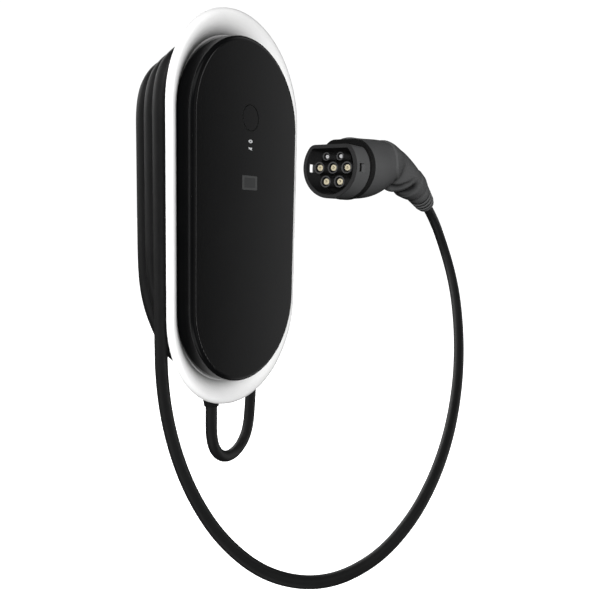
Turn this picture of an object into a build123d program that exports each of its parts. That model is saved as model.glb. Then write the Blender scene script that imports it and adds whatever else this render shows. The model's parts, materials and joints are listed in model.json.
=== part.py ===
from build123d import *
import math
import os

# Wall-hung charging box for an electric car, with its charging cable wound on
# the drum behind the white flange and ending in a seven-contact connector.
# Frame: wall plane y = 0, front towards -Y, +X right, +Z up. Millimetres.

# ---------------------------------------------------------------- dimensions
FACE_HALF_W = 85.0        # front cover, half width
FACE_HALF_H = 175.0       # front cover, half height
FACE_Y = -80.0            # front face
COVER_WALL = 2.6
COVER_SKIN = 3.0          # thickness of the front face
EDGE_R = 5.0              # rounded front edge

DECK_F = -59.0            # flange deck, front and back faces
DECK_B = -56.0
RIM_HALF_W = 103.2        # outer rim of the flange
RIM_HALF_H = 201.3
# rolled lip of the flange: share of the way from the cover to the rim, and depth
LIP_IN = [(0.0, -59.0), (0.07, -59.15)] + [(0.76 - 0.69 * k / 14, -69.9 + 10.6 * (k / 14) ** 2) for k in range(13, -1, -1)]
LIP_OUT = [(1.0, -64.4), (0.985, -66.2), (0.945, -68.0), (0.87, -69.4), (0.76, -69.9)]

DRUM_HALF_W = 82.0        # drum that carries the cable, at its front turn
DRUM_TOP = 153.3
DRUM_REF = -48.3
DRUM_TAPER = (0.154, 0.42)    # the drum narrows towards the wall, in width and height
DRUM_TOP_R = 54.0
DRUM_BOW_Z = -45.0        # centre of the round lower end
DRUM_WALL = 3.0
DRUM_FRONT = -55.0
DRUM_REAR = -1.0
BACK_F, BACK_B = -9.0, -6.0   # back wall of the housing

CABLE_D = 12.8
CABLE_R = CABLE_D / 2
STRAND_Y = (-15.8, -28.8, -41.8)
STRAND_X = (84.5, 86.5, 88.5)
STRAND_TOP = (149.0, 156.0, 160.0)
STRAND_R = (56.0, 60.0, 58.0)
WIND_Z = -57.0            # height where the cable joins and leaves the turns

GLAND_X, GLAND_Y = -16.3, -44.0
NECK_HALF_W = 17.7
NECK_BACK = -32.0
NECK_BOTTOM = -186.0

BUTTON_Z = 97.0
BUTTON_R = 12.5
BUTTON_GAP = 0.45
BUTTON_TRAVEL = 1.5
WINDOW_W, WINDOW_H, WINDOW_Z = 25.0, 14.5, 32.6
PIPE_Z = (73.9, 66.7)
PIPE_R = 2.2

CON_Y, CON_Z = -152.3, 49.8   # centre of the connector's contact face
CON_X = 36.0                  # front rim of the shroud
SHROUD_R, SHROUD_FLAT, SHROUD_WALL = 31.0, 22.5, 3.8
POWER_PINS = [(0, 0), (16, 0), (-16, 0), (8, -13.86), (-8, -13.86)]
PILOT_PINS = [(8, 11.2), (-8, 11.2)]

COVER_SCREWS = [(20, 161), (-20, 161), (48, -146), (-48, -146)]
HOUSING_SCREWS = [(69, 95), (-69, 95), (69, 20), (-69, 20), (69, -50), (-69, -50)]
BOARD_SCREWS = [(50, 108), (-50, 108), (50, 12), (-50, 12), (50, -78), (-50, -78)]
UI_SCREWS = [(22, 112), (-22, 112), (22, 20), (-22, 20)]
LOCK_SCREWS = [(40, -36), (-40, -36)]
PADS = LOCK_SCREWS + [(40, 44), (-40, 44)]
WALL_HOLES = [(45, 68), (-45, 68), (45, -68), (-45, -68)]
WALL_HOLE_R = 3.25
HOOK_X = (24, -24)
INLET_Z = -100.0

# cable from the gland, down in a short loop and up to the first turn
TAIL = [(-16.3, -44.0, -176.0), (-16.6, -44.1, -212.0), (-16.2, -44.0, -246.5),
        (-3.5, -42.3, -267.0), (18.0, -40.0, -277.5), (41.0, -38.2, -273.5),
        (57.5, -37.0, -257.5), (63.5, -35.5, -228.0), (70.0, -32.0, -185.0),
        (78.0, -25.0, -138.0), (84.5, -15.8, -94.0), (84.5, -15.8, -57.0)]
# cable from the last turn, down in the large loop and up into the connector
LEAD = [(-88.5, -41.8, -57.0), (-88.5, -41.8, -110.0), (-89.8, -43.8, -166.8),
        (-91.6, -58.3, -219.9), (-90.7, -83.7, -268.8), (-81.3, -116.2, -312.4),
        (-59.2, -155.1, -345.6), (-23.0, -196.3, -356.8), (20.3, -228.4, -342.5),
        (64.7, -246.3, -314.8), (109.4, -252.6, -283.5), (155.1, -250.2, -252.4),
        (199.8, -241.9, -221.6), (241.5, -230.2, -187.8), (278.4, -215.4, -149.8),
        (308.0, -198.5, -108.0), (324.5, -183.0, -73.0), (331.0, -167.5, -38.0),
        (321.0, -157.5, -6.0), (300.0, -152.3, 16.4), (265.0, -152.3, 33.6),
        (236.0, -152.3, 44.6)]

BOOT_P = (256.0, 38.0)        # start of the strain relief, in X and Z
BOOT_DIR = (0.898, -0.441)
BOOT_LEN = 45.0

os.makedirs("parts", exist_ok=True)


# ------------------------------------------------------------------- helpers
def box(x0, x1, y0, y1, z0, z1):
    return Pos((x0 + x1) / 2, (y0 + y1) / 2, (z0 + z1) / 2) * Box(x1 - x0, y1 - y0, z1 - z0)


def cyl_x(y, z, r, x0, x1):
    return Pos((x0 + x1) / 2, y, z) * Rot(0, 90, 0) * Cylinder(r, x1 - x0)


def cyl_y(x, z, r, y0, y1):
    return Pos(x, (y0 + y1) / 2, z) * Rot(90, 0, 0) * Cylinder(r, y1 - y0)


def cyl_z(x, y, r, z0, z1):
    return Pos(x, y, (z0 + z1) / 2) * Cylinder(r, z1 - z0)


def slab(sk, y0, y1):
    """Sketch drawn in X and Z, as a plate from y0 to y1."""
    return extrude(Plane.XZ.offset(-y1) * sk, amount=y1 - y0)


def slab_x(sk, x0, x1, z=CON_Z):
    """Sketch drawn in Y and Z about the connector's axis, from x0 to x1."""
    p = Plane(origin=(x0, CON_Y, z), x_dir=(0, 1, 0), z_dir=(1, 0, 0))
    return extrude(p * sk, amount=x1 - x0)


def stadium(a, b):
    return SlotOverall(2 * b, 2 * a, rotation=90)


def arch(w, z0, z1, r):
    """Rectangle from z0 to z1 with rounded upper corners."""
    s = Pos(0, (z0 + z1) / 2) * Rectangle(2 * w, z1 - z0)
    return fillet(s.vertices().group_by(Axis.Y)[-1], r)


def drum(off, y=DRUM_FRONT):
    """Drum outline at depth y, shrunk by off."""
    w = DRUM_HALF_W - DRUM_TAPER[0] * (y - DRUM_REF) - off
    top = DRUM_TOP - DRUM_TAPER[1] * (y - DRUM_REF) - off
    return arch(w, DRUM_BOW_Z, top, DRUM_TOP_R - off) + Pos(0, DRUM_BOW_Z) * Circle(w)


def taper(off, y0, y1):
    """The tapering drum from y0 to y1, shrunk by off."""
    return loft([Plane.XZ.offset(-y) * drum(off, y) for y in (y0, y1)], ruled=True)


def dee(r, flat, corner):
    """Round connector outline with a flat top."""
    s = Circle(r) - Pos(0, flat + r) * Rectangle(4 * r, 2 * r)
    return fillet(s.vertices(), corner)


def route_radii(pts):
    out = []
    for a, b, c in zip(pts, pts[1:], pts[2:]):
        u = Vector(b) - Vector(a)
        v = Vector(c) - Vector(b)
        turn = math.radians(u.get_angle(v))
        out.append(0.45 * min(u.length, v.length) / math.tan(turn / 2))
    return out


def tube(pts, name):
    radii = route_radii(pts)
    path = FilletPolyline(*pts, radius=radii)
    sec = Plane(origin=path @ 0, z_dir=path % 0) * Circle(CABLE_R)
    body = sweep(sec, path=path)
    ideal = math.pi * CABLE_R ** 2 * path.length
    print(name, "length %.1f" % path.length, "volume/section*length %.4f" % (body.volume / ideal),
          "radii/d", [round(r / CABLE_D, 1) for r in radii])
    return body


def group(items):
    return Compound(children=[i.solids()[0] if len(i.solids()) == 1 else i for i in items])


nodes = {}

# --------------------------------------------------------------- front cover
cover = slab(stadium(FACE_HALF_W, FACE_HALF_H), FACE_Y, DECK_F)
cover = fillet(cover.faces().sort_by(Axis.Y)[0].edges(), EDGE_R)
inner_front = FACE_Y + COVER_SKIN
cover -= slab(stadium(FACE_HALF_W - COVER_WALL, FACE_HALF_H - COVER_WALL), inner_front, DECK_F + 1)
for x, z in COVER_SCREWS:
    cover += cyl_y(x, z, 4.0, inner_front - 0.5, DECK_F)
    cover -= cyl_y(x, z, 1.5, -71, DECK_F + 1)
for x, z in UI_SCREWS:
    cover += cyl_y(x, z, 3.5, inner_front - 0.5, -66.0)
    cover -= cyl_y(x, z, 1.3, -72, -65)
cover -= cyl_y(0, BUTTON_Z, BUTTON_R + BUTTON_GAP, FACE_Y - 1, inner_front + 1)
cover -= box(-WINDOW_W / 2, WINDOW_W / 2, FACE_Y - 1, inner_front + 1,
             WINDOW_Z - WINDOW_H / 2, WINDOW_Z + WINDOW_H / 2)
for z in PIPE_Z:
    cover -= cyl_y(0, z, PIPE_R + 0.05, FACE_Y - 1, inner_front + 1)
nodes["front_cover"] = cover

# soft seal inside the cover's rim
nodes["cover_gasket"] = slab(stadium(FACE_HALF_W - COVER_WALL, FACE_HALF_H - COVER_WALL)
                             - stadium(FACE_HALF_W - COVER_WALL - 3, FACE_HALF_H - COVER_WALL - 3),
                             DECK_F - 1.5, DECK_F)

# -------------------------------------------------------------- white flange
def way_out(t):
    """Outline at share t of the way from the cover's wall to the rim."""
    return stadium(FACE_HALF_W + (RIM_HALF_W - FACE_HALF_W) * t, FACE_HALF_H + (RIM_HALF_H - FACE_HALF_H) * t)


def rings(points, **kw):
    return loft([Plane.XZ.offset(-y) * way_out(t) for t, y in points], **kw)


flange = rings([(0.26, DECK_B), (1.0, -64.4)], ruled=True) + rings(LIP_OUT)
flange -= rings(LIP_IN, ruled=True) + slab(way_out(0.76), -72.0, -69.9)
flange -= slab(way_out(0.40) - way_out(0.26), -61.2, -50.0)
flange -= slab(way_out(0.60) - way_out(0.38), -63.6, -50.0)
flange -= slab(way_out(0.84) - way_out(0.56), -66.0, -50.0)
flange -= slab(Pos(0, 12.5) * RectangleRounded(128, 215, 20), -75, -50)
for x, z in COVER_SCREWS + HOUSING_SCREWS:
    flange -= cyl_y(x, z, 1.7, -75, -50)
nodes["cable_flange"] = flange

# ------------------------------------------------------ rear housing and drum
neck_x0, neck_x1 = GLAND_X - NECK_HALF_W, GLAND_X + NECK_HALF_W
neck = box(neck_x0, neck_x1, DRUM_FRONT, NECK_BACK, NECK_BOTTOM, -100)
neck_in = box(neck_x0 + 3, neck_x1 - 3, DRUM_FRONT, NECK_BACK - 2, NECK_BOTTOM + 3, -99)
house = taper(0, DRUM_FRONT, DRUM_REAR) + neck
house -= taper(DRUM_WALL, DRUM_FRONT, BACK_F)
house -= taper(DRUM_WALL, BACK_B, DRUM_REAR)
house -= neck_in
for x, z in HOUSING_SCREWS:
    house += cyl_y(x, z, 4.0, DECK_B, BACK_F + 0.5)
    house -= cyl_y(x, z, 1.5, DECK_B - 1, -36)
for x, z in BOARD_SCREWS:
    house += cyl_y(x, z, 4.0, -23.0, BACK_F + 0.5)
    house -= cyl_y(x, z, 1.5, -24.0, -12)
for x, z in PADS:
    house += cyl_y(x, z, 6.0, BACK_B - 0.5, -2.0)
for x, z in LOCK_SCREWS:
    house -= cyl_y(x, z, 2.6, BACK_F - 1, 0)
for x in HOOK_X:
    house -= box(x - 9, x + 9, BACK_F - 1, BACK_B + 1, 74, 87.05)
house -= cyl_y(0, INLET_Z, 12.5, BACK_F - 1, BACK_B + 1)
house -= cyl_z(GLAND_X, GLAND_Y, 8.1, NECK_BOTTOM - 1, NECK_BOTTOM + 4)
nodes["rear_housing"] = house

seal = drum(0) + Pos(GLAND_X, (NECK_BOTTOM - 100) / 2) * Rectangle(2 * NECK_HALF_W, -100 - NECK_BOTTOM)
seal -= drum(DRUM_WALL)
seal -= Pos(GLAND_X, (NECK_BOTTOM + 3 - 99) / 2) * Rectangle(2 * NECK_HALF_W - 6, -99 - NECK_BOTTOM - 3)
nodes["housing_gasket"] = slab(seal, DECK_B, DRUM_FRONT)

# ----------------------------------------------------------------- fasteners
nodes["cover_screws"] = group([
    cyl_y(x, z, 1.45, -69, DECK_B) + (cyl_y(x, z, 3.0, DECK_B, DECK_B + 2.4) - cyl_y(x, z, 1.2, DECK_B + 1.2, DECK_B + 3))
    for x, z in COVER_SCREWS])
nodes["housing_screws"] = group([
    cyl_y(x, z, 1.45, DECK_F, -38) + (cyl_y(x, z, 3.0, DECK_F - 2.4, DECK_F) - cyl_y(x, z, 1.2, DECK_F - 3, DECK_F - 1.2))
    for x, z in HOUSING_SCREWS])
nodes["main_board_screws"] = group([
    cyl_y(x, z, 1.45, -24.6, -13) + cyl_y(x, z, 2.8, -26.8, -24.6) for x, z in BOARD_SCREWS])
nodes["panel_board_screws"] = group([
    cyl_y(x, z, 1.25, -70.5, -64.4) + cyl_y(x, z, 2.3, -64.4, -62.6) for x, z in UI_SCREWS])
nodes["lock_screws"] = group([
    cyl_y(x, z, 2.4, BACK_F, -0.4) + (cyl_y(x, z, 4.5, BACK_F - 3.5, BACK_F) - cyl_y(x, z, 2.0, BACK_F - 4, BACK_F - 1.6))
    for x, z in LOCK_SCREWS])

# -------------------------------------------------------------- wall bracket
bracket = slab(Pos(0, 9.25) * RectangleRounded(104, 176.5, 8), -2.0, 0.0)
for x, z in WALL_HOLES:
    bracket -= cyl_y(x, z, WALL_HOLE_R, -3, 1)
for x, z in LOCK_SCREWS:
    bracket -= cyl_y(x, z, 2.5, -3, 1)
for z in (-35, 35):
    bracket -= slab(Pos(0, z) * RectangleRounded(40, 26, 6), -3, 1)
for x in HOOK_X:
    bracket += box(x - 8, x + 8, -11.6, -1.5, 84, 87)
    bracket += box(x - 8, x + 8, -11.6, -9.3, 84, 93)
nodes["wall_bracket"] = bracket

inlet = (cyl_y(0, INLET_Z, 12.4, BACK_F, BACK_B) + cyl_y(0, INLET_Z, 15, BACK_F - 2, BACK_F)
         + cyl_y(0, INLET_Z, 15, BACK_B, BACK_B + 2)) - cyl_y(0, INLET_Z, 6.0, -20, 0)
nodes["inlet_grommet"] = inlet

# -------------------------------------------------- button and its small board
button = cyl_y(0, BUTTON_Z, BUTTON_R, FACE_Y, -75.0)
button = fillet(button.faces().sort_by(Axis.Y)[0].edges(), 0.5)
button += cyl_y(0, BUTTON_Z, BUTTON_R + 1.8, inner_front + 0.35, -75.0)
button -= cyl_y(0, BUTTON_Z, BUTTON_R - 2.2, FACE_Y + 2.4, -74.0)
button += cyl_y(0, BUTTON_Z, 4.0, FACE_Y + 2.0, -72.0)
nodes["push_button"] = button
nodes["switch_plunger"] = cyl_y(0, BUTTON_Z, 1.7, -72.0, -69.0)
nodes["button_switch"] = box(-4, 4, -70.0, -66.0, BUTTON_Z - 4, BUTTON_Z + 4) \
    - cyl_y(0, BUTTON_Z, 2.1, -71, -67.0)

panel_board = box(-28, 28, -66.0, -64.4, 14, 122)
for x, z in UI_SCREWS:
    panel_board -= cyl_y(x, z, 1.4, -67, -63)
nodes["panel_board"] = panel_board
window = box(-WINDOW_W / 2 + 0.05, WINDOW_W / 2 - 0.05, FACE_Y, inner_front,
             WINDOW_Z - WINDOW_H / 2 + 0.05, WINDOW_Z + WINDOW_H / 2 - 0.05)
nodes["display_window"] = window
nodes["display_module"] = box(-16, 16, -76.5, -66.0, 25.0, 43.0)
nodes["status_light_pipes"] = group([cyl_y(0, z, PIPE_R, FACE_Y, -68.0) for z in PIPE_Z])
nodes["status_leds"] = group([box(-1.6, 1.6, -67.4, -66.0, z - 1.6, z + 1.6) for z in PIPE_Z])

# --------------------------------------------------------- power electronics
board = box(-58, 58, -24.6, -23.0, -85, 115)
for x, z in BOARD_SCREWS:
    board -= cyl_y(x, z, 1.7, -26, -22)
nodes["main_board"] = board
nodes["power_relays"] = group([box(-50, -22, -46, -24.6, 24, 56), box(-15, 13, -46, -24.6, 24, 56)])
nodes["current_sensor"] = cyl_y(-30, -22, 17, -40, -24.6) - cyl_y(-30, -22, 8, -41, -24)
nodes["power_supply_module"] = box(20, 54, -47, -24.6, -56, 0)
nodes["filter_capacitors"] = group([cyl_y(36, 34, 9, -49, -24.6), cyl_y(36, 62, 9, -49, -24.6)])
nodes["wireless_module"] = box(-22, 4, -28, -24.6, 82, 110)
terminal = box(-46, 14, -45, -24.6, -82, -60)
term_x = [-40 + 12 * i for i in range(5)]
for x in term_x:
    terminal -= cyl_y(x, -68, 2.75, -46, -36)
    terminal -= box(x - 3.5, x + 3.5, -40, -30, -83, -74)
nodes["terminal_block"] = terminal
nodes["terminal_screws"] = group([cyl_y(x, -68, 2.65, -43.5, -36) - box(x - 2, x + 2, -44, -42.5, -68.4, -67.6)
                                  for x in term_x])
nodes["ribbon_cable"] = box(-9, 9, -64.4, -24.6, 66.0, 66.9)

# --------------------------------------------------------------- cable gland
hexes = Pos(GLAND_X, GLAND_Y, -192) * extrude(RegularPolygon(11.4, 6), amount=6)
gland = cyl_z(GLAND_X, GLAND_Y, 8.0, -186.5, -177) + hexes + cyl_z(GLAND_X, GLAND_Y, 9.0, -199, -191.5)
gland -= cyl_z(GLAND_X, GLAND_Y, 6.9, -200, -176)
gland -= cyl_z(GLAND_X, GLAND_Y, 8.0, -200, -194.5)
nodes["gland_body"] = gland
nodes["gland_locknut"] = (Pos(GLAND_X, GLAND_Y, -183) * extrude(RegularPolygon(9.8, 6), amount=3.5)) \
    - cyl_z(GLAND_X, GLAND_Y, 8.05, -184, -178)
nodes["gland_seal"] = cyl_z(GLAND_X, GLAND_Y, 7.95, -199, -194.5) - cyl_z(GLAND_X, GLAND_Y, 6.7, -200, -194)
cap = Pos(GLAND_X, GLAND_Y, -199.25) * Cone(8.0, 10.4, 13.5)
cap -= cyl_z(GLAND_X, GLAND_Y, 9.05, -199.1, -190)
cap -= cyl_z(GLAND_X, GLAND_Y, 7.0, -207, -190)
nodes["gland_cap"] = cap

# --------------------------------------------------------------------- cable
nodes["cable_tail"] = tube(TAIL, "cable_tail")
nodes["cable_lead"] = tube(LEAD, "cable_lead")

# outer shape of the turns on the drum
y_front = STRAND_Y[2] - CABLE_R - 0.1
turns = None
for y, x, top, r in zip(STRAND_Y, STRAND_X, STRAND_TOP, STRAND_R):
    over = arch(x + 6.5, WIND_Z, top + 6.5, r + 6.5) - arch(x - 6.1, WIND_Z - 1, top - 6.1, r - 6.1)
    over = slab(over, y - 6.5, y + 6.5)
    turns = over if turns is None else turns + over
out_pts = [(-95.0, WIND_Z), (-92.5, -75), (-85, -92), (-72.5, -117), (-51.5, -152), (-30, -172), (0, -179)]
in_pts = [(-82.4, WIND_Z), (-79.8, -72), (-73.2, -86), (-60.5, -110), (-40, -145), (-22, -161), (0, -166.2)]
ring = out_pts + [(-x, z) for x, z in reversed(out_pts[:-1])] + [(-x, z) for x, z in in_pts] \
    + list(reversed(in_pts[:-1]))
bight = make_face(Polyline(*ring, close=True))
for x0, x1, ya, yb in ((-100, -36, -35.2, -4.7), (-36, 3.5, -30.8, -4.7), (3.5, 55, -42.0, -4.7), (55, 100, y_front, -27.4)):
    turns += slab(bight, ya, yb) & box(x0, x1, -60, 0, -200, WIND_Z)
nodes["cable_winding"] = turns

# ----------------------------------------------------------------- connector
shroud = slab_x(dee(SHROUD_R, SHROUD_FLAT, 9.0), CON_X, 74.0)
shroud -= slab_x(dee(SHROUD_R - SHROUD_WALL, SHROUD_FLAT - SHROUD_WALL, 7.0), CON_X - 1, 75.0)
for s in (-1, 1):
    y0, y1 = sorted((CON_Y + s * 25, CON_Y + s * 33))
    shroud -= box(CON_X + 6.5, CON_X + 17.5, y0, y1, CON_Z - 4.2, CON_Z + 4.2)
nodes["connector_shroud"] = shroud

carrier = slab_x(dee(24.6, 17.6, 6.0), 58.0, 67.0) \
    + slab_x(dee(SHROUD_R - SHROUD_WALL - 0.1, SHROUD_FLAT - SHROUD_WALL - 0.1, 7.0), 66.0, 72.0)
for dy, dz in POWER_PINS:
    carrier -= cyl_x(CON_Y + dy, CON_Z + dz, 3.15, 50, 75)
for dy, dz in PILOT_PINS:
    carrier -= cyl_x(CON_Y + dy, CON_Z + dz, 1.95, 50, 75)
nodes["contact_carrier"] = carrier


def sleeve(dy, dz, r, bore):
    return cyl_x(CON_Y + dy, CON_Z + dz, r, 42.8, 58.0) - cyl_x(CON_Y + dy, CON_Z + dz, bore, 40, 60)


nodes["contact_sleeves"] = group([sleeve(dy, dz, 5.9, 4.6) for dy, dz in POWER_PINS]
                                 + [sleeve(dy, dz, 4.1, 3.1) for dy, dz in PILOT_PINS])


def contact(dy, dz, r, x0):
    c = cyl_x(CON_Y + dy, CON_Z + dz, r, x0, 80.0)
    c = chamfer(c.faces().sort_by(Axis.X)[0].edges(), 0.5)
    return c - cyl_x(CON_Y + dy, CON_Z + dz, r * 0.45, x0 - 1, x0 + 5)


nodes["power_contacts"] = group([contact(dy, dz, 3.1, 44.0) for dy, dz in POWER_PINS])
nodes["pilot_contacts"] = group([contact(dy, dz, 1.9, 44.5) for dy, dz in PILOT_PINS])

nodes["connector_seal_ring"] = slab_x(Pos(0, 1.2) * dee(32.8, 29.4, 12.0), 65.0, 74.0) \
    - slab_x(dee(SHROUD_R + 0.02, SHROUD_FLAT + 0.02, 9.0), 64.0, 75.0)


def ring_at(x, z, hw, hh, tilt):
    """Oval section across the connector's axis at (x, z)."""
    c, s = math.cos(math.radians(tilt)), math.sin(math.radians(tilt))
    p = Plane(origin=(x, CON_Y, z), x_dir=(0, 1, 0), z_dir=(c, 0, s))
    return p * Ellipse(hw, hh)


NOSE = [(74, 51.0, 32.6, 32.2, 0), (100, 52.6, 31.6, 32.0, 0), (125, 55.6, 29.6, 30.9, 0),
        (150, 60.4, 26.6, 26.4, 0), (170, 63.6, 23.0, 19.6, 0)]
GRIP = [(170, 63.4, 22.0, 18.6, 0), (188, 56.6, 22.8, 23.9, -11), (212, 50.4, 21.8, 21.8, -15),
        (236, 43.7, 19.2, 19.2, -19), (256, 38.0, 17.2, 17.2, -26.15)]
nose = loft([ring_at(*p) for p in NOSE])
nose -= loft([ring_at(x, z, w - 3, h - 3, t) for x, z, w, h, t in NOSE])
nodes["connector_nose"] = nose
grip = loft([ring_at(*p) for p in GRIP])
grip -= loft([ring_at(x, z, w - 3, h - 3, t) for x, z, w, h, t in GRIP])
nodes["connector_grip"] = grip

# ribbed strain relief, turned about the cable's axis
boot_plane = Plane(origin=(BOOT_P[0], CON_Y, BOOT_P[1]), x_dir=(BOOT_DIR[0], 0, BOOT_DIR[1]), z_dir=(0, 1, 0))
profile = [(0.05, 8.0), (0.05, 17.2), (8, 16.2), (15, 14.9)]
for i in range(4):
    s0 = 16.0 + 6.0 * i
    r0 = 14.6 - 1.15 * i
    profile += [(s0, r0 - 2.5), (s0 + 2.4, r0 - 2.7), (s0 + 2.8, r0), (s0 + 5.7, r0 - 0.7)]
profile += [(BOOT_LEN - 2.0, 9.8), (BOOT_LEN, 9.0), (BOOT_LEN, 7.6), (BOOT_LEN - 12, 7.0)]
boot = revolve(boot_plane * make_face(Polyline(*profile, close=True)),
               axis=Axis(boot_plane.origin, boot_plane.x_dir))
nodes["grip_boot"] = boot

clamp_plane = Plane(origin=(250.5, CON_Y, 39.1), x_dir=(0, 1, 0), z_dir=(0.935, 0, -0.355))
nodes["cable_clamp"] = Pos(0, 0, 0) * extrude(clamp_plane * (RectangleRounded(22, 20, 4) - Circle(6.9)), amount=-8)

for name, shape in nodes.items():
    export_step(shape, "parts/%s.step" % name)
print(len(nodes), "nodes")
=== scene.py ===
import json
import math

import bmesh
import bpy
from mathutils import Matrix, Vector


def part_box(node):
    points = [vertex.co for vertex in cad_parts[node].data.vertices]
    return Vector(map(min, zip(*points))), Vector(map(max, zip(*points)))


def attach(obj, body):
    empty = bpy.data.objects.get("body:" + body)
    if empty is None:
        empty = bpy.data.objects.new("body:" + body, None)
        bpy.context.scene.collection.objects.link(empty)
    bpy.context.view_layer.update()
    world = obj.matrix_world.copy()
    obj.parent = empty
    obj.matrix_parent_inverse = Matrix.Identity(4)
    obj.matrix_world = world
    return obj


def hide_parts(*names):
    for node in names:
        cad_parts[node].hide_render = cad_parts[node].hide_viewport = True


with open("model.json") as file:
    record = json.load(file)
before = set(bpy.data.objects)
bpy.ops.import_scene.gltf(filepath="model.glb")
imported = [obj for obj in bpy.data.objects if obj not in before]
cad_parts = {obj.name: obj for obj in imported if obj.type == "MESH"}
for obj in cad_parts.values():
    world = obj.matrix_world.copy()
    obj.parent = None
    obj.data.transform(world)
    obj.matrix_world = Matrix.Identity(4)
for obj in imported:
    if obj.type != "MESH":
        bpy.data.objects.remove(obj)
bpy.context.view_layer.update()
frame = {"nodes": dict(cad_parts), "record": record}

NODES = frame["nodes"]
scene = bpy.context.scene
MM = 0.001


# ------------------------------------------------------------------ materials
class Nodes:
    """A material with a Principled shader and a few noise layers in metres."""

    def __init__(self, name):
        self.mat = bpy.data.materials.new(name)
        self.mat.use_nodes = True
        self.tree = self.mat.node_tree
        self.bsdf = self.tree.nodes["Principled BSDF"]
        self.co = self.tree.nodes.new("ShaderNodeTexCoord").outputs["Object"]

    def new(self, kind, **inputs):
        n = self.tree.nodes.new(kind)
        for k, v in inputs.items():
            n.inputs[k.replace("_", " ")].default_value = v
        return n

    def link(self, a, b):
        self.tree.links.new(a, b)

    def noise(self, scale, detail=3.0, stretch=None, rough=0.5):
        n = self.new("ShaderNodeTexNoise", Scale=scale, Detail=detail, Roughness=rough)
        if stretch:
            m = self.new("ShaderNodeMapping")
            m.inputs["Scale"].default_value = stretch
            self.link(self.co, m.inputs["Vector"])
            self.link(m.outputs["Vector"], n.inputs["Vector"])
        else:
            self.link(self.co, n.inputs["Vector"])
        return n.outputs["Fac"]

    def math(self, op, a, b=0.0):
        m = self.tree.nodes.new("ShaderNodeMath")
        m.operation = op
        for i, v in enumerate((a, b)):
            if isinstance(v, (int, float)):
                m.inputs[i].default_value = v
            else:
                self.link(v, m.inputs[i])
        return m.outputs[0]

    def axes(self):
        s = self.tree.nodes.new("ShaderNodeSeparateXYZ")
        self.link(self.co, s.inputs[0])
        return s.outputs

    def ramp(self, fac, stops):
        r = self.tree.nodes.new("ShaderNodeValToRGB")
        e = r.color_ramp.elements
        while len(e) < len(stops):
            e.new(0.5)
        for el, (p, c) in zip(e, stops):
            el.position = p
            el.color = (*c, 1.0) if len(c) == 3 else c
        self.link(fac, r.inputs["Fac"])
        return r.outputs["Color"]

    def span(self, fac, lo, hi, a=0.3, b=0.7):
        m = self.new("ShaderNodeMapRange")
        for k, v in (("From Min", a), ("From Max", b), ("To Min", lo), ("To Max", hi)):
            m.inputs[k].default_value = v
        self.link(fac, m.inputs["Value"])
        return m.outputs["Result"]

    def times(self, a, b):
        m = self.tree.nodes.new("ShaderNodeMix")
        m.data_type = "RGBA"
        m.blend_type = "MULTIPLY"
        m.inputs["Factor"].default_value = 1.0
        self.link(a, m.inputs[6])
        self.link(b, m.inputs[7])
        return m.outputs[2]

    def pick(self, fac, a, b):
        m = self.tree.nodes.new("ShaderNodeMix")
        m.data_type = "RGBA"
        self.link(fac, m.inputs["Factor"])
        self.link(a, m.inputs[6])
        self.link(b, m.inputs[7])
        return m.outputs[2]

    def bump(self, layers):
        """layers: list of (height output, distance in metres, strength)."""
        last = None
        for h, dist, strength in layers:
            b = self.new("ShaderNodeBump", Strength=strength, Distance=dist)
            self.link(h, b.inputs["Height"])
            if last:
                self.link(last, b.inputs["Normal"])
            last = b.outputs["Normal"]
        self.link(last, self.bsdf.inputs["Normal"])

    def set(self, **values):
        for k, v in values.items():
            self.bsdf.inputs[k.replace("_", " ")].default_value = v


def grey(v):
    return (v, v, v)


def plastic(name, dark, light, rough, grain, depth, spec=0.5, blotch=40.0):
    n = Nodes(name)
    fine = n.noise(grain, 2.0)
    broad = n.noise(blotch, 3.0)
    n.link(n.ramp(broad, [(0.3, dark), (0.7, light)]), n.bsdf.inputs["Base Color"])
    n.link(n.span(fine, rough[0], rough[1]), n.bsdf.inputs["Roughness"])
    n.bump([(fine, depth, 0.35)])
    n.set(Specular_IOR_Level=spec)
    return n.mat


def metal(name, dark, light, rough, scale, stretch=None, depth=0.00003):
    n = Nodes(name)
    f = n.noise(scale, 4.0, stretch)
    n.link(n.ramp(f, [(0.25, dark), (0.75, light)]), n.bsdf.inputs["Base Color"])
    n.link(n.span(f, rough[0], rough[1]), n.bsdf.inputs["Roughness"])
    n.bump([(f, depth, 0.3)])
    n.set(Metallic=1.0)
    return n.mat


def plated(name, dark, light, rough, scale):
    """Dull plated metal, part mirror and part matt."""
    n = Nodes(name)
    f = n.noise(scale, 4.0, (1.0, 6.0, 6.0))
    n.link(n.ramp(f, [(0.25, dark), (0.75, light)]), n.bsdf.inputs["Base Color"])
    n.link(n.span(f, rough[0], rough[1]), n.bsdf.inputs["Roughness"])
    n.bump([(f, 0.00003, 0.3)])
    n.set(Metallic=0.35)
    return n.mat


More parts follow.
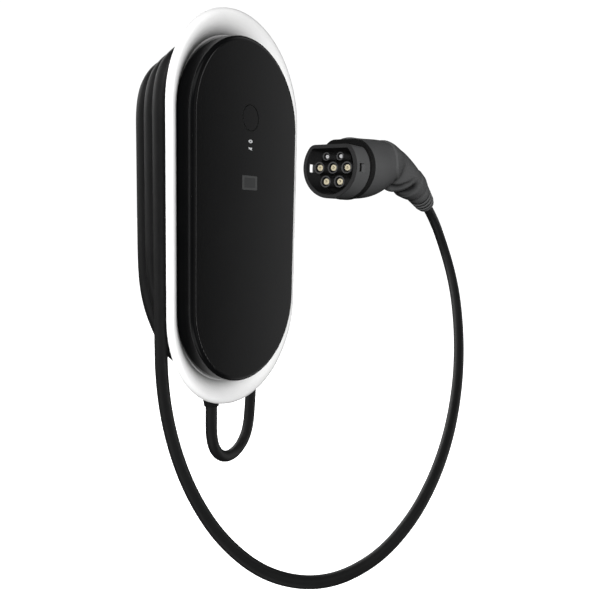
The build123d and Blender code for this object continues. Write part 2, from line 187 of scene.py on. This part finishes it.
def shroud_grey():
    """Grey outside, darker on the front rim and black inside the mouth."""
    n = Nodes("shroud_grey")
    x, y, z = n.axes()
    broad = n.noise(40.0, 3.0)
    fine = n.noise(1500.0, 2.0)
    dy = n.math("ADD", y, 0.1523)
    dz = n.math("SUBTRACT", z, 0.0498)
    r = n.math("SQRT", n.math("ADD", n.math("MULTIPLY", dy, dy), n.math("MULTIPLY", dz, dz)))
    inside = n.math("MULTIPLY", n.math("LESS_THAN", r, 0.02735), n.math("LESS_THAN", dz, 0.01885))
    rim = n.math("LESS_THAN", x, 0.03735)
    tone = n.ramp(broad, [(0.3, (0.074, 0.075, 0.076)), (0.7, (0.084, 0.085, 0.086))])
    face = n.ramp(broad, [(0.3, (0.022, 0.022, 0.0225)), (0.7, (0.027, 0.027, 0.0275))])
    dark = n.ramp(broad, [(0.3, (0.0020, 0.0020, 0.0022)), (0.7, (0.0030, 0.0030, 0.0032))])
    n.link(n.pick(inside, n.pick(rim, tone, face), dark), n.bsdf.inputs["Base Color"])
    n.link(n.span(fine, 0.48, 0.60), n.bsdf.inputs["Roughness"])
    n.bump([(fine, 0.00006, 0.35)])
    n.set(Specular_IOR_Level=0.3)
    return n.mat


def sleeve_rims():
    """Black sleeves with paler front rims."""
    n = Nodes("sleeve_rims")
    x, y, z = n.axes()
    broad = n.noise(60.0, 3.0)
    fine = n.noise(1500.0, 2.0)
    rim = n.math("LESS_THAN", x, 0.0430)
    side = n.ramp(broad, [(0.3, (0.0022, 0.0022, 0.0024)), (0.7, (0.0032, 0.0032, 0.0034))])
    front = n.ramp(broad, [(0.3, (0.052, 0.052, 0.053)), (0.7, (0.062, 0.062, 0.063))])
    n.link(n.pick(rim, side, front), n.bsdf.inputs["Base Color"])
    n.link(n.span(fine, 0.45, 0.6), n.bsdf.inputs["Roughness"])
    n.bump([(fine, 0.00004, 0.35)])
    n.set(Specular_IOR_Level=0.25)
    return n.mat


def handle_grey(name, depth):
    """Moulded grey with painted shade: darker where depth, made from the nodes, is near one, for the shadow down in
    hollows and grooves.
    """
    n = Nodes(name)
    broad = n.noise(40.0, 3.0)
    fine = n.noise(1500.0, 2.0)
    tone = n.ramp(broad, [(0.3, (0.074, 0.075, 0.076)), (0.7, (0.084, 0.085, 0.086))])
    # painted shade: the dark grey used for shadow in the hollows and grooves
    painted_shade_grey = n.ramp(broad, [(0.3, (0.008, 0.008, 0.0083)), (0.7, (0.011, 0.011, 0.0113))])
    n.link(n.pick(depth(n), tone, painted_shade_grey), n.bsdf.inputs["Base Color"])
    n.link(n.span(fine, 0.48, 0.60), n.bsdf.inputs["Roughness"])
    n.bump([(fine, 0.00006, 0.35)])
    n.set(Specular_IOR_Level=0.35)
    return n.mat


def hollow_painted_shade(n):
    # painted shade mask: the finger hollows and the tucked seam edge, stored on the skin's points
    a = n.tree.nodes.new("ShaderNodeAttribute")
    a.attribute_name = "painted_hollow_shade"
    return a.outputs["Fac"]


def groove_painted_shade(n):
    """Painted shade mask: one in the grooves of the strain relief, by distance from its axis, darkening them for the
    shadow there.
    """
    x, y, z = n.axes()
    px, py, pz = n.math("SUBTRACT", x, 0.256), n.math("ADD", y, 0.1523), n.math("SUBTRACT", z, 0.038)
    along = n.math("SUBTRACT", n.math("MULTIPLY", px, 0.898), n.math("MULTIPLY", pz, 0.441))
    off = n.math("ADD", n.math("MULTIPLY", px, 0.441), n.math("MULTIPLY", pz, 0.898))
    r = n.math("SQRT", n.math("ADD", n.math("MULTIPLY", off, off), n.math("MULTIPLY", py, py)))
    ridge = n.math("SUBTRACT", 0.0150, n.math("MULTIPLY", n.math("SUBTRACT", along, 0.015), 0.10))
    deep = n.math("SUBTRACT", ridge, r)
    return n.math("MULTIPLY", n.math("MULTIPLY", n.math("GREATER_THAN", along, 0.0142), n.math("LESS_THAN", along, 0.0404)),
                  n.span(deep, 0.0, 1.0, 0.0006, 0.0012))


def flange_white():
    """White gloss moulding with painted shade: darker down in the trough along the cover, for the shadow there."""
    n = Nodes("white_flange")
    x, y, z = n.axes()
    # share of the way from the cover's wall to the rim: both are ovals with
    # straight sides, and the rim stands further off at the round ends
    end = n.math("MAXIMUM", n.math("SUBTRACT", n.math("ABSOLUTE", z), 0.090), 0.0)
    out = n.math("SQRT", n.math("ADD", n.math("MULTIPLY", x, x), n.math("MULTIPLY", end, end)))
    lean = n.math("DIVIDE", n.math("MULTIPLY", end, end), n.math("ADD", n.math("MULTIPLY", out, out), 1e-6))
    wide = n.math("ADD", n.math("MULTIPLY", lean, 0.0081), 0.0182)
    broad = n.noise(30.0, 2.0)
    wob = n.math("MULTIPLY", n.math("SUBTRACT", broad, 0.5), 0.04)
    share = n.math("ADD", n.math("DIVIDE", n.math("SUBTRACT", out, 0.085), wide), wob)
    # painted shade: the white is darkened near the cover's wall, standing in for the shadow in the trough
    painted_trough_shade = n.ramp(share, [(0.0, grey(0.22)), (0.10, grey(0.50)), (0.20, grey(0.78)), (0.32, grey(0.95)),
                           (0.42, grey(1.0))])
    tone = n.ramp(broad, [(0.3, (0.86, 0.86, 0.86)), (0.7, (0.90, 0.90, 0.895))])
    n.link(n.times(tone, painted_trough_shade), n.bsdf.inputs["Base Color"])
    fine = n.noise(1800.0, 2.0)
    n.link(n.span(fine, 0.26, 0.32), n.bsdf.inputs["Roughness"])
    n.bump([(fine, 0.000010, 0.35)])
    n.set(Specular_IOR_Level=0.4)
    return n.mat


MAT = {
    "black_cover": plastic("black_cover", (0.0024, 0.0025, 0.0027), (0.0031, 0.0032, 0.0034),
                           (0.12, 0.15), 2600.0, 0.000004, spec=0.5),
    "white_flange": flange_white(),
    "black_housing": plastic("black_housing", (0.0045, 0.0045, 0.0047), (0.0065, 0.0065, 0.0067),
                             (0.52, 0.66), 1500.0, 0.00006, spec=0.35),
    "black_rubber": plastic("black_rubber", (0.004, 0.004, 0.004), (0.007, 0.007, 0.007),
                            (0.60, 0.78), 1100.0, 0.00005, spec=0.3),
    "cable_jacket": plastic("cable_jacket", (0.0052, 0.0053, 0.0054), (0.0068, 0.0069, 0.0070),
                            (0.44, 0.54), 900.0, 0.00005, spec=0.75),
    "zinc_steel": metal("zinc_steel", (0.42, 0.43, 0.44), (0.66, 0.66, 0.64), (0.28, 0.46), 160.0),
    "board_green": plastic("board_green", (0.010, 0.065, 0.032), (0.016, 0.095, 0.045),
                           (0.30, 0.42), 700.0, 0.00004),
    "component_dark": plastic("component_dark", (0.015, 0.015, 0.017), (0.026, 0.026, 0.028),
                              (0.45, 0.6), 1300.0, 0.00004),
    "component_pale": plastic("component_pale", (0.46, 0.47, 0.46), (0.56, 0.57, 0.56),
                              (0.4, 0.55), 1300.0, 0.00004),
    "window_smoke": plastic("window_smoke", (0.034, 0.035, 0.035), (0.039, 0.040, 0.040),
                            (0.20, 0.26), 2200.0, 0.000008, spec=0.3),
    "light_pipe": plastic("light_pipe", (0.50, 0.51, 0.52), (0.60, 0.61, 0.62),
                          (0.3, 0.4), 1800.0, 0.00001),
    "connector_grey": plastic("connector_grey", (0.074, 0.075, 0.076), (0.084, 0.085, 0.086),
                              (0.48, 0.60), 1500.0, 0.00006, spec=0.35),
    "contact_black": plastic("contact_black", (0.004, 0.004, 0.004), (0.007, 0.007, 0.007),
                             (0.42, 0.55), 1600.0, 0.00003, spec=0.3),
    "contact_brass": plated("contact_brass", (0.70, 0.62, 0.42), (0.84, 0.77, 0.57), (0.32, 0.46), 300.0),
    "contact_silver": plated("contact_silver", (0.72, 0.72, 0.73), (0.88, 0.88, 0.88), (0.28, 0.40), 300.0),
}
WINDOW_EDGE = plastic("window_edge", (0.050, 0.051, 0.051), (0.057, 0.058, 0.058), (0.28, 0.36), 2200.0, 0.000008,
                      spec=0.3)
SLEEVE = sleeve_rims()
# handle grey with painted shade in the finger hollows
HANDLE = handle_grey("handle_grey", hollow_painted_shade)
# strain relief grey with painted shade in its grooves
BOOT = handle_grey("boot_grey", groove_painted_shade)
SHROUD = shroud_grey()

slot_of = {s["node"]: s["material_slot"] for s in frame["record"]["subparts"]}
for name, obj in NODES.items():
    m = {"contact_sleeves": SLEEVE, "connector_shroud": SHROUD}.get(name, MAT[slot_of[name]])
    if not obj.material_slots:
        obj.data.materials.append(m)
    for ms in obj.material_slots:
        ms.material = m

# ---------------------------------------------------------------------- cable
CABLE_D = 12.8
TAIL = [(-16.3, -44.0, -176.0), (-16.6, -44.1, -212.0), (-16.2, -44.0, -246.5),
        (-3.5, -42.3, -267.0), (18.0, -40.0, -277.5), (41.0, -38.2, -273.5),
        (57.5, -37.0, -257.5), (63.5, -35.5, -228.0), (70.0, -32.0, -185.0),
        (78.0, -25.0, -138.0), (84.5, -15.8, -94.0), (84.5, -15.8, -57.0)]
LEAD = [(-88.5, -41.8, -57.0), (-88.5, -41.8, -110.0), (-89.8, -43.8, -166.8),
        (-91.6, -58.3, -219.9), (-90.7, -83.7, -268.8), (-81.3, -116.2, -312.4),
        (-59.2, -155.1, -345.6), (-23.0, -196.3, -356.8), (20.3, -228.4, -342.5),
        (64.7, -246.3, -314.8), (109.4, -252.6, -283.5), (155.1, -250.2, -252.4),
        (199.8, -241.9, -221.6), (241.5, -230.2, -187.8), (278.4, -215.4, -149.8),
        (308.0, -198.5, -108.0), (324.5, -183.0, -73.0), (331.0, -167.5, -38.0),
        (321.0, -157.5, -6.0), (300.0, -152.3, 16.4), (265.0, -152.3, 33.6),
        (236.0, -152.3, 44.6)]
# over the drum: up on the right, across the top and down on the left; X and Z
# of the right half of each turn, from the wall forward
OVER = [(-15.8, [(84.6, 0.0), (84.6, 60.0), (84.6, 108.1), (69.5, 134.1), (43.5, 149.2)], 149.2),
        (-28.8, [(86.6, 0.0), (86.6, 60.0), (86.6, 112.3), (70.5, 140.1), (42.7, 156.2)], 156.2),
        (-41.8, [(88.6, 0.0), (88.6, 60.0), (88.6, 117.6), (73.0, 144.6), (46.0, 160.2)], 160.2)]
# under the drum, from the left to the next turn on the right
UNDER_A = [(-84.6, -15.8, -57.0), (-79.4, -15.2, -86.0), (-67.8, -13.4, -112.0), (-46.5, -11.6, -147.5),
           (0.0, -11.1, -176.0), (46.5, -14.5, -147.5), (68.0, -20.5, -112.0), (80.0, -26.4, -86.0),
           (86.6, -28.8, -57.0)]
UNDER_B = [(-86.6, -28.8, -57.0), (-79.8, -28.4, -86.0), (-68.0, -27.2, -112.0), (-46.5, -25.2, -147.5),
           (0.0, -24.3, -176.0), (46.5, -27.5, -147.5), (68.0, -34.4, -112.0), (80.2, -39.8, -86.0),
           (88.6, -41.8, -57.0)]
route = list(TAIL)
for (y, half, top), under in zip(OVER, (UNDER_A, UNDER_B, [])):
    route += [(x, y, z) for x, z in half] + [(0.0, y, top)] + [(-x, y, z) for x, z in reversed(half)]
    route += under
route += LEAD

curve = bpy.data.curves.new("charging_cable", "CURVE")
curve.dimensions = "3D"
sp = curve.splines.new("NURBS")
sp.points.add(len(route) - 1)
for p, (x, y, z) in zip(sp.points, route):
    p.co = (x * MM, y * MM, z * MM, 1.0)
sp.order_u = 3
sp.use_endpoint_u = True
curve.resolution_u = 12
curve.bevel_depth = CABLE_D / 2 * MM
curve.bevel_resolution = 7
curve.use_fill_caps = True
cable = bpy.data.objects.new("charging_cable", curve)
scene.collection.objects.link(cable)
curve.materials.append(MAT["cable_jacket"])
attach(cable, "box")
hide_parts("cable_tail", "cable_winding", "cable_lead")


# -------------------------------------------------------------- small pieces
def mesh_piece(name, bm, mats, body="box", smooth=None):
    bmesh.ops.recalc_face_normals(bm, faces=bm.faces)
    me = bpy.data.meshes.new(name)
    bm.to_mesh(me)
    bm.free()
    o = bpy.data.objects.new(name, me)
    scene.collection.objects.link(o)
    for m in mats:
        me.materials.append(m)
    if smooth is not None:
        me.shade_smooth()
        me.set_sharp_from_angle(angle=math.radians(smooth))
    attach(o, body)
    return o


def plate(bm, pts, y0, y1, mat=0):
    """Closed plate of an outline in X and Z (mm), from y0 to y1."""
    a = [bm.verts.new((x * MM, y0 * MM, z * MM)) for x, z in pts]
    b = [bm.verts.new((x * MM, y1 * MM, z * MM)) for x, z in pts]
    n = len(pts)
    faces = [bm.faces.new(a), bm.faces.new(list(reversed(b)))]
    for i in range(n):
        faces.append(bm.faces.new((a[i], b[i], b[(i + 1) % n], a[(i + 1) % n])))
    for f in faces:
        f.material_index = mat


def rings_mesh(bm, rings, mats=None, close=False):
    """Quads between successive closed rings of points in mm."""
    vs = [[bm.verts.new(Vector(p) * MM) for p in r] for r in rings]
    n = len(rings[0])
    for k in range(len(vs) - 1 + (1 if close else 0)):
        a, b = vs[k], vs[(k + 1) % len(vs)]
        for i in range(n):
            f = bm.faces.new((a[i], a[(i + 1) % n], b[(i + 1) % n], b[i]))
            f.material_index = mats[k] if mats else 0
    return vs


# handle skin: laps over the nose along a curved edge, with two finger hollows
# underneath and a collar at the strain relief; place along X, middle Z, half
# width, half height, tilt
CON_Y = -152.3
SKIN = [(100, 52.6, 31.6, 32.0, 0), (125, 55.6, 29.6, 30.9, 0), (150, 60.4, 26.6, 26.4, 0), (170, 63.2, 23.2, 20.0, -2),
        (188, 56.6, 22.8, 23.9, -11), (212, 50.4, 21.8, 21.8, -15), (236, 43.7, 19.2, 19.2, -19),
        (256, 38.0, 17.2, 17.2, -26.15), (262, 35.2, 16.6, 16.6, -26.15)]
HOLLOW_A = [(0, 178.0), (20, 183.0), (45, 190.0), (65, 200.0), (90, 208.0)]
HOLLOW_B = [(0, 207.0), (22, 211.0), (38, 214.0), (52, 216.0), (65, 217.0), (90, 218.0)]


def smooth(v, a, b):
    t = min(max((v - a) / (b - a), 0.0), 1.0)
    return t * t * (3 - 2 * t)


def between(table, v):
    for (a, p), (b, q) in zip(table, table[1:]):
        if v <= b:
            return p + (q - p) * (v - a) / (b - a)
    return table[-1][1]


def skin_section(x):
    i = max(k for k in range(1, len(SKIN) - 2) if k == 1 or SKIN[k][0] <= x)
    p0, p1, p2, p3 = (Vector((*SKIN[k][1:],)) for k in range(i - 1, i + 3))
    x0, x1, x2, x3 = (SKIN[k][0] for k in range(i - 1, i + 3))
    m1, m2 = (p2 - p0) * ((x2 - x1) / (x2 - x0)), (p3 - p1) * ((x2 - x1) / (x3 - x1))
    f = (x - x1) / (x2 - x1)
    return ((2 * f ** 3 - 3 * f ** 2 + 1) * p1 + (f ** 3 - 2 * f ** 2 + f) * m1 + (3 * f ** 2 - 2 * f ** 3) * p2
            + (f ** 3 - f ** 2) * m2)


def skin_dent(x, th):
    """Depth of the finger hollows (mm) at a place on the skin."""
    under = math.degrees(abs(math.remainder(th - 1.5 * math.pi, 2 * math.pi)))
    near = 1.0 - smooth(under, 46.0, 86.0)
    return near * (3.0 * math.exp(-((x - between(HOLLOW_A, under)) / 3.6) ** 2)
                   + 4.4 * math.exp(-((x - between(HOLLOW_B, under)) / 7.5) ** 2))


def skin_point(x, th, lift):
    z, hw, hh, tilt = skin_section(x)
    under = math.degrees(abs(math.remainder(th - 1.5 * math.pi, 2 * math.pi)))
    lift -= skin_dent(x, th)
    lift += 1.2 * smooth(x, 223.0 + 0.05 * under, 228.0 + 0.05 * under) * (1.0 - smooth(x, 248.0, 252.0))
    t = math.radians(tilt)
    return (x - math.sin(t) * (hh + lift) * math.sin(th), CON_Y + (hw + lift) * math.cos(th),
            z + math.cos(t) * (hh + lift) * math.sin(th))


def skin_edge(th):
    s = math.sin(th)
    return 133.0 + 36.0 * max(0.0, -s) ** 1.6 + 15.0 * max(0.0, s) ** 2


N = 96
ths = [2 * math.pi * k / N for k in range(N)]
rows = [(0.0, -1.6), (0.0, 0.1), (0.4, 0.55), (2.2, 1.45), (3.0, 1.7)] + [(k / 70, None) for k in range(1, 71)]
rings, hollow_shade_mask = [], []
for k, (q, lift) in enumerate(rows):
    ring = []
    for t in ths:
        x = skin_edge(t) + q if lift is not None else (skin_edge(t) + 3.0) * (1 - q) + 257.0 * q
        ring.append(skin_point(x, t, lift if lift is not None else 1.7 - 1.7 * smooth(q, 0.05, 0.45)))
        # painted shade: one in the finger hollows and on the tucked edge at the seam, darkening the colour there
        hollow_shade_mask.append(min(1.0, skin_dent(x, t) / 3.2) if lift != -1.6 else 1.0)
    rings.append(ring)
bm = bmesh.new()
vs = rings_mesh(bm, rings)
bm.faces.new(list(reversed(vs[0])))
bm.faces.new(vs[-1])
skin = mesh_piece("handle_skin", bm, [HANDLE], smooth=38)
skin.data.attributes.new("painted_hollow_shade", "FLOAT", "POINT").data.foreach_set("value", hollow_shade_mask)
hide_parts("connector_grip")

# strain relief with open ribs, turned about the cable; place along it, radius
RELIEF = [(-4.0, 9.0), (-4.0, 15.6), (0.0, 16.4), (7.0, 16.0), (13.6, 15.5), (14.4, 15.1)]
for i in range(3):
    s0, r0 = 15.0 + 7.6 * i, 15.0 - 0.75 * i
    RELIEF += [(s0, r0 - 1.5), (s0 + 3.6, r0 - 1.7), (s0 + 4.0, r0 - 0.5), (s0 + 4.5, r0 - 0.1), (s0 + 6.4, r0 - 0.2),
               (s0 + 7.0, r0 - 0.6)]
RELIEF += [(37.8, 11.4), (40.2, 11.3), (40.6, 12.0), (43.4, 11.6), (44.7, 10.6), (45.0, 9.4), (45.0, 6.5)]
along, across = Vector((0.898, 0.0, -0.441)).normalized(), Vector((0.441, 0.0, 0.898)).normalized()
start = Vector((256.0, CON_Y, 38.0))
bm = bmesh.new()
vs = rings_mesh(bm, [[start + along * s + (across * math.sin(t) + Vector((0, 1, 0)) * math.cos(t)) * r
                      for t in (2 * math.pi * k / 72 for k in range(72))] for s, r in RELIEF])
bm.faces.new(list(reversed(vs[0])))
bm.faces.new(vs[-1])
relief = mesh_piece("relief_ribs", bm, [BOOT], smooth=38)
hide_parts("grip_boot")
CONNECTOR = [n for n in ("connector_shroud", "contact_carrier", "contact_sleeves", "power_contacts", "pilot_contacts",
                         "connector_seal_ring", "connector_nose", "cable_clamp")
             if n in NODES]

# the satin cover shows no picture of the cable and connector in front of it
for o in [cable, skin, relief] + [NODES[n] for n in CONNECTOR]:
    o.visible_glossy = False

# lit marks: a six-sided ring and a small pointed mark, each on its light pipe
FACE = -80.0
bm = bmesh.new()
z0 = 73.9
hexo = [(3.6 * math.cos(math.radians(60 * i + 30)), 1.85 * math.sin(math.radians(60 * i + 30))) for i in range(6)]
outer = [(x, z0 + z) for x, z in hexo]
hole = [(x * 0.36, z0 + z * 0.36) for x, z in hexo]
rings_mesh(bm, [[(x, FACE - 0.06, z) for x, z in outer], [(x, FACE - 0.06, z) for x, z in hole],
                [(x, FACE + 0.02, z) for x, z in hole], [(x, FACE + 0.02, z) for x, z in outer]], close=True)
z0 = 66.7
plate(bm, [(-2.9, z0 - 0.9), (-1.2, z0 - 0.5), (0.5, z0 - 1.3), (3.1, z0 - 1.4), (1.9, z0 - 0.1), (3.1, z0 + 1.3),
           (0.8, z0 + 1.0), (-2.8, z0 + 1.3)], FACE - 0.06, FACE + 0.02)
mesh_piece("status_marks", bm, [MAT["light_pipe"]])
for ms in NODES["status_light_pipes"].material_slots:
    ms.material = MAT["black_cover"]

# painted shade: a dark ring round the button, standing in for the shadow in the gap
lo, hi = (Vector(c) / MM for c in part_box("push_button"))
bc, br = ((lo.x + hi.x) / 2, (lo.z + hi.z) / 2), (hi.x - lo.x) / 2 - 1.35      # the hole in the cover


def round_at(r, y):
    return [(bc[0] + r * math.cos(2 * math.pi * k / 72), y, bc[1] + r * math.sin(2 * math.pi * k / 72)) for k in range(72)]


bm = bmesh.new()
rings_mesh(bm, [round_at(br + 0.05, FACE + 0.10), round_at(br + 0.12, FACE - 0.05), round_at(br + 0.90, FACE - 0.05),
                round_at(br + 1.00, FACE + 0.10)], close=True)
mesh_piece("button_gap_shade", bm, [MAT["contact_black"]], smooth=30)

# smoked window: a paler frame round a sunk pane
WX, WZ, WC = 12.45, 7.2, 32.6


def rect(hx, hz, y, r=0.7):
    out = []
    for cx, cz, a0 in ((hx - r, hz - r, 0), (-hx + r, hz - r, 90), (-hx + r, -hz + r, 180), (hx - r, -hz + r, 270)):
        for k in range(5):
            a = math.radians(a0 + 22.5 * k)
            out.append((cx + r * math.cos(a), y, WC + cz + r * math.sin(a)))
    return out


bm = bmesh.new()
vs = rings_mesh(bm, [rect(WX, WZ, -77.0), rect(WX, WZ, FACE + 0.12), rect(WX - 0.14, WZ - 0.14, FACE),
                     rect(WX - 3.1, WZ - 2.2, FACE), rect(WX - 3.25, WZ - 2.35, FACE + 0.18)],
                mats=[0, 0, 0, 0])
f = bm.faces.new(vs[-1])
f.material_index = 1
bm.faces.new(list(reversed(vs[0])))
window = mesh_piece("display_glass", bm, [WINDOW_EDGE, MAT["window_smoke"]])
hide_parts("display_window")

# -------------------------------------------------------------- floor, lights
floor_mesh = bpy.data.meshes.new("floor")
F = 30.0
floor_mesh.from_pydata([(-F, -F, -0.75), (F, -F, -0.75), (F, F, -0.75), (-F, F, -0.75)], [], [(0, 1, 2, 3)])
floor = bpy.data.objects.new("floor", floor_mesh)
scene.collection.objects.link(floor)
fm = Nodes("floor_paper")
fm.link(fm.ramp(fm.noise(6.0), [(0.3, (0.90, 0.90, 0.90)), (0.7, (0.93, 0.93, 0.93))]), fm.bsdf.inputs["Base Color"])
fm.set(Roughness=0.9, Emission_Color=(1, 1, 1, 1), Emission_Strength=1.05)
floor_mesh.materials.append(fm.mat)
floor.visible_glossy = False
floor.visible_diffuse = False
floor.visible_shadow = False

# soft light all round: broad patches of a studio dome, white where seen directly
world = bpy.data.worlds.new("studio")
scene.world = world
world.use_nodes = True
wt = world.node_tree
wt.nodes.clear()
wdir = wt.nodes.new("ShaderNodeTexCoord").outputs["Generated"]


def w_math(op, a, b=0.0):
    m = wt.nodes.new("ShaderNodeMath")
    m.operation = op
    for i, v in enumerate((a, b)):
        if isinstance(v, (int, float)):
            m.inputs[i].default_value = v
        else:
            wt.links.new(v, m.inputs[i])
    return m.outputs[0]


def w_dot(axis):
    d = wt.nodes.new("ShaderNodeVectorMath")
    d.operation = "DOT_PRODUCT"
    wt.links.new(wdir, d.inputs[0])
    d.inputs[1].default_value = Vector(axis).normalized()
    return d.outputs["Value"]


def w_step(v, a, b):
    m = wt.nodes.new("ShaderNodeMapRange")
    m.interpolation_type = "SMOOTHSTEP"
    wt.links.new(v, m.inputs["Value"])
    m.inputs["From Min"].default_value = a
    m.inputs["From Max"].default_value = b
    return m.outputs["Result"]


def patch(axis, inner, outer, strength):
    s = w_step(w_dot(axis), math.cos(math.radians(outer)), math.cos(math.radians(inner)))
    return w_math("MULTIPLY", s, strength)


def strip(azimuth, half, reach, strength):
    """Upright strip; azimuth from the front towards the right."""
    a = math.radians(azimuth)
    side = w_math("ABSOLUTE", w_dot((math.cos(a), math.sin(a), 0)))
    s = w_step(side, math.sin(math.radians(half * 2)), math.sin(math.radians(half)))
    s = w_math("MULTIPLY", s, w_step(w_dot((math.sin(a), -math.cos(a), 0)), math.cos(math.radians(reach)),
                                     math.cos(math.radians(reach * 0.7))))
    return w_math("MULTIPLY", s, strength)


def aim(azimuth, elevation):
    a, e = math.radians(azimuth), math.radians(elevation)
    return (math.sin(a) * math.cos(e), -math.cos(a) * math.cos(e), math.sin(e))


def side_wash(azimuth, slope, most, last):
    """Upright wash that grows from this azimuth towards the right, up to the last one."""
    a, b = math.radians(azimuth), math.radians(last)
    g = w_math("MULTIPLY", w_dot((math.cos(a), math.sin(a), 0)), slope)
    g = w_math("MINIMUM", w_math("MAXIMUM", g, 0.0), most)
    g = w_math("MULTIPLY", g, w_step(w_dot((math.cos(b), math.sin(b), 0)), 0.20, 0.0))
    high = w_step(w_math("ABSOLUTE", w_dot((0, 0, 1))), 0.85, 0.60)
    return w_math("MULTIPLY", g, high)


LIGHTS = [patch(aim(-60, 48), 8, 24, 0.4),
          patch(aim(-60, -48), 8, 24, 0.4),
          strip(-98, 6, 60, 0.4),
          patch(aim(150, 25), 10, 30, 1.5),
          patch(aim(-150, 25), 10, 30, 1.5),
          side_wash(46.0, 2.0, 1.1, 66.0),
          strip(37, 1.5, 30, 2.0),
          strip(0, 10, 40, 0.12)]
total = w_math("ADD", LIGHTS[0], 0.02)
for p in LIGHTS[1:]:
    total = w_math("ADD", total, p)

out = wt.nodes.new("ShaderNodeOutputWorld")
mix = wt.nodes.new("ShaderNodeMixShader")
path = wt.nodes.new("ShaderNodeLightPath")
fill = wt.nodes.new("ShaderNodeBackground")
fill.inputs["Color"].default_value = (1, 1, 1, 1)
wt.links.new(total, fill.inputs["Strength"])
white = wt.nodes.new("ShaderNodeBackground")
white.inputs["Color"].default_value = (1, 1, 1, 1)
white.inputs["Strength"].default_value = 1.05
wt.links.new(path.outputs["Is Camera Ray"], mix.inputs["Fac"])
wt.links.new(fill.outputs["Background"], mix.inputs[1])
wt.links.new(white.outputs["Background"], mix.inputs[2])
wt.links.new(mix.outputs["Shader"], out.inputs["Surface"])



def soft_box(name, azimuth, elevation, distance, size, power):
    """Broad matt light on the box's middle, which makes no mirror image."""
    data = bpy.data.lights.new(name, "AREA")
    data.shape = "DISK"
    data.size = size
    data.energy = power
    o = bpy.data.objects.new(name, data)
    target = Vector((0.0, -0.06, 0.0))
    o.location = target + Vector(aim(azimuth, elevation)) * distance
    o.rotation_euler = (target - o.location).to_track_quat("-Z", "Y").to_euler()
    o.visible_glossy = False
    o.visible_camera = False
    scene.collection.objects.link(o)


soft_box("key", -53.0, 6.0, 3.0, 0.8, 124.0)
soft_box("back", 165.0, 25.0, 3.0, 1.0, 80.0)

# --------------------------------------------------------------------- camera
cam_data = bpy.data.cameras.new("camera")
cam_data.sensor_width = 36.0
cam_data.lens = 37.2
cam_data.clip_start, cam_data.clip_end = 0.01, 100.0
cam = bpy.data.objects.new("camera", cam_data)
right = Vector((0.54680827, -0.83687393, 0.02535244))
up = Vector((0.10618057, 0.09934996, 0.98937115))
back = Vector((-0.83049768, -0.53830439, 0.14318513))
m = Matrix((right, up, back)).transposed().to_4x4()
m.translation = Vector((-0.511353, -0.476079, 0.006214))
cam.matrix_world = m
scene.collection.objects.link(cam)
scene.camera = cam
scene.view_settings.view_transform = "Standard"
scene.view_settings.look = "None"
